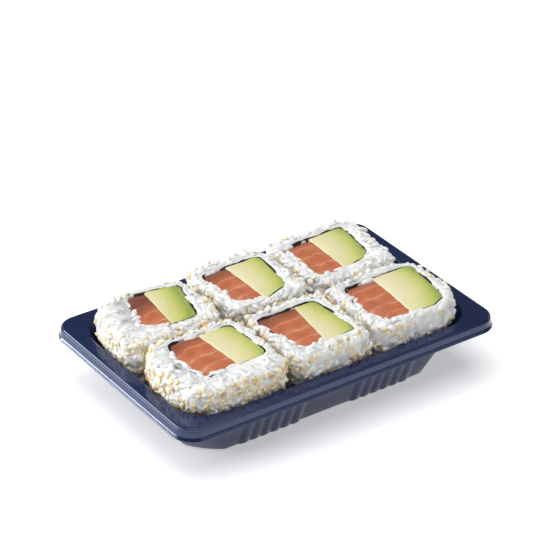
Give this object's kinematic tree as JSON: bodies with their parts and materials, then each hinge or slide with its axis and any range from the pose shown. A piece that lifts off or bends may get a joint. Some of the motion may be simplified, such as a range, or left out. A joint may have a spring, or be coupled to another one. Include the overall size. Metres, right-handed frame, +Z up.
{
  "type": "takeaway sushi tray",
  "caption": "Open takeaway tray of dark plastic with two rows of inside-out sushi rolls standing on end, salmon and avocado in the middle.",
  "frame": {"origin": "middle of the tray's base, on the surface it rests on", "axes": "+X along the tray's long side, +Y across it to the back row, +Z up; the front long side faces -Y"},
  "size_m": [0.1644, 0.104, 0.0392],
  "materials": {
    "tray_plastic": "glossy thermoformed sheet",
    "rice": "moist cooked rice with sesame",
    "nori": "moist seaweed sheet",
    "salmon": "moist raw fish with pale fat lines",
    "avocado": "smooth ripe flesh"
  },
  "bodies": {
    "root": {"tray": "tray_plastic", "rice_1": "rice", "nori_1": "nori", "salmon_1": "salmon", "avocado_1": "avocado", "rice_2": "rice", "nori_2": "nori", "salmon_2": "salmon", "avocado_2": "avocado", "rice_3": "rice", "nori_3": "nori", "salmon_3": "salmon", "avocado_3": "avocado", "rice_4": "rice", "nori_4": "nori", "salmon_4": "salmon", "avocado_4": "avocado", "rice_5": "rice", "nori_5": "nori", "salmon_5": "salmon", "avocado_5": "avocado", "rice_6": "rice", "nori_6": "nori", "salmon_6": "salmon", "avocado_6": "avocado"}
  },
  "joints": []
}
